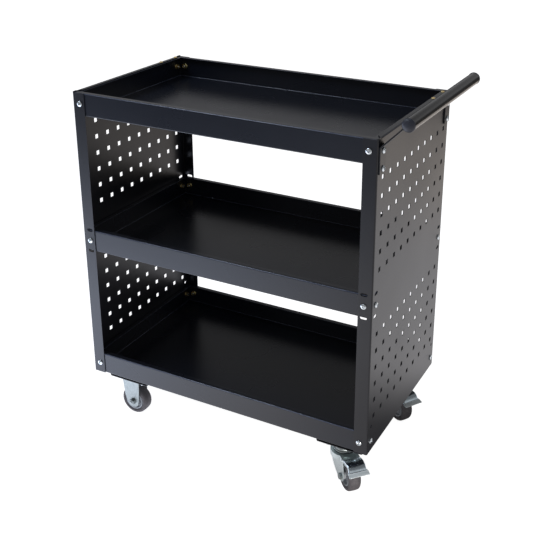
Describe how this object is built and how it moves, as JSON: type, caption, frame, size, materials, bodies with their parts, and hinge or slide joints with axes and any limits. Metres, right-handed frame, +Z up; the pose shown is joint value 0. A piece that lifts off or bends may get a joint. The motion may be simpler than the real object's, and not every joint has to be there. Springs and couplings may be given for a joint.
{
  "type": "tool cart",
  "caption": "Wheeled workshop cart with open trays between perforated side panels, a tubular push handle, fixed casters at one end and braked swivel casters at the other.",
  "frame": {"origin": "on the floor, at the middle of the box around the whole cart", "axes": "+X along the cart towards the push handle, +Y from the front opening to the rear opening, +Z up"},
  "size_m": [0.7698, 0.4204, 0.8502],
  "materials": {
    "black_powder": "satin black powder coat",
    "panel_powder": "satin black powder coat",
    "black_tube": "satin black powder coat",
    "cap_plastic": "moulded black plastic",
    "zinc_plate": "blue zinc plating",
    "bright_zinc": "bright zinc plating",
    "chrome_plate": "bright plating",
    "tyre_rubber": "grey-black rubber",
    "hub_plastic": "moulded grey plastic"
  },
  "bodies": {
    "cart_body": {"bottom_screw_front_left": "bright_zinc", "bottom_screw_front_right": "bright_zinc", "bottom_screw_left_front": "bright_zinc", "bottom_screw_left_rear": "bright_zinc", "bottom_screw_rear_left": "bright_zinc", "bottom_screw_rear_right": "bright_zinc", "bottom_screw_right_front": "bright_zinc", "bottom_screw_right_rear": "bright_zinc", "bottom_tray": "black_powder", "front_left_caster_axle_bolt": "zinc_plate", "front_left_caster_axle_nut": "zinc_plate", "front_left_caster_fork": "zinc_plate", "front_right_caster_swivel_plate": "zinc_plate", "handle_cap_front": "cap_plastic", "handle_cap_rear": "cap_plastic", "handle_screw_front": "bright_zinc", "handle_screw_rear": "bright_zinc", "handle_strap_front": "black_powder", "handle_strap_rear": "black_powder", "handle_tube": "black_tube", "left_caster_channel": "black_powder", "left_side_panel": "panel_powder", "middle_screw_front_left": "bright_zinc", "middle_screw_front_right": "bright_zinc", "middle_screw_left_front": "bright_zinc", "middle_screw_left_rear": "bright_zinc", "middle_screw_rear_left": "bright_zinc", "middle_screw_rear_right": "bright_zinc", "middle_screw_right_front": "bright_zinc", "middle_screw_right_rear": "bright_zinc", "middle_tray": "black_powder", "rear_left_caster_axle_bolt": "zinc_plate", "rear_left_caster_axle_nut": "zinc_plate", "rear_left_caster_fork": "zinc_plate", "rear_right_caster_swivel_plate": "zinc_plate", "right_caster_channel": "black_powder", "right_side_panel": "panel_powder", "top_screw_front_left": "bright_zinc", "top_screw_front_right": "bright_zinc", "top_screw_left_front": "bright_zinc", "top_screw_left_rear": "bright_zinc", "top_screw_rear_left": "bright_zinc", "top_screw_rear_right": "bright_zinc", "top_screw_right_front": "bright_zinc", "top_screw_right_rear": "bright_zinc", "top_tray": "black_powder"},
    "wheel_front_left": {"front_left_caster_hub": "hub_plastic", "front_left_caster_tyre": "tyre_rubber"},
    "wheel_rear_left": {"rear_left_caster_hub": "hub_plastic", "rear_left_caster_tyre": "tyre_rubber"},
    "swivel_front_right": {"front_right_caster_axle_bolt": "zinc_plate", "front_right_caster_fork": "zinc_plate"},
    "swivel_rear_right": {"rear_right_caster_axle_bolt": "zinc_plate", "rear_right_caster_fork": "zinc_plate"},
    "wheel_front_right": {"front_right_caster_hub": "hub_plastic", "front_right_caster_tyre": "tyre_rubber"},
    "wheel_rear_right": {"rear_right_caster_hub": "hub_plastic", "rear_right_caster_tyre": "tyre_rubber"},
    "pedal_front_right": {"front_right_caster_brake_pedal": "chrome_plate"},
    "pedal_rear_right": {"rear_right_caster_brake_pedal": "chrome_plate"}
  },
  "joints": [
    {"name": "wheel_front_left_spin", "type": "hinge", "parent": "cart_body", "child": "wheel_front_left", "pos_m": [-0.3083, -0.13439, 0.035], "axis": [0, 1, 0], "continuous": true},
    {"name": "wheel_rear_left_spin", "type": "hinge", "parent": "cart_body", "child": "wheel_rear_left", "pos_m": [-0.3083, 0.14761, 0.035], "axis": [0, 1, 0], "continuous": true},
    {"name": "swivel_front_right_turn", "type": "hinge", "parent": "cart_body", "child": "swivel_front_right", "pos_m": [0.2427, -0.13439, 0.08], "axis": [0, 0, 1], "continuous": true},
    {"name": "wheel_front_right_spin", "type": "hinge", "parent": "swivel_front_right", "child": "wheel_front_right", "pos_m": [0.2661, -0.15622, 0.035], "axis": [0.682, 0.7314, 0], "continuous": true},
    {"name": "pedal_front_right_press", "type": "hinge", "parent": "swivel_front_right", "child": "pedal_front_right", "pos_m": [0.2661, -0.15622, 0.073], "axis": [0.682, 0.7314, 0], "range_deg": [0, 12]},
    {"name": "swivel_rear_right_turn", "type": "hinge", "parent": "cart_body", "child": "swivel_rear_right", "pos_m": [0.2427, 0.14761, 0.08], "axis": [0, 0, 1], "continuous": true},
    {"name": "wheel_rear_right_spin", "type": "hinge", "parent": "swivel_rear_right", "child": "wheel_rear_right", "pos_m": [0.26954, 0.13018, 0.035], "axis": [0.5446, 0.8387, 0], "continuous": true},
    {"name": "pedal_rear_right_press", "type": "hinge", "parent": "swivel_rear_right", "child": "pedal_rear_right", "pos_m": [0.26954, 0.13018, 0.073], "axis": [0.5446, 0.8387, 0], "range_deg": [0, 12]}
  ]
}
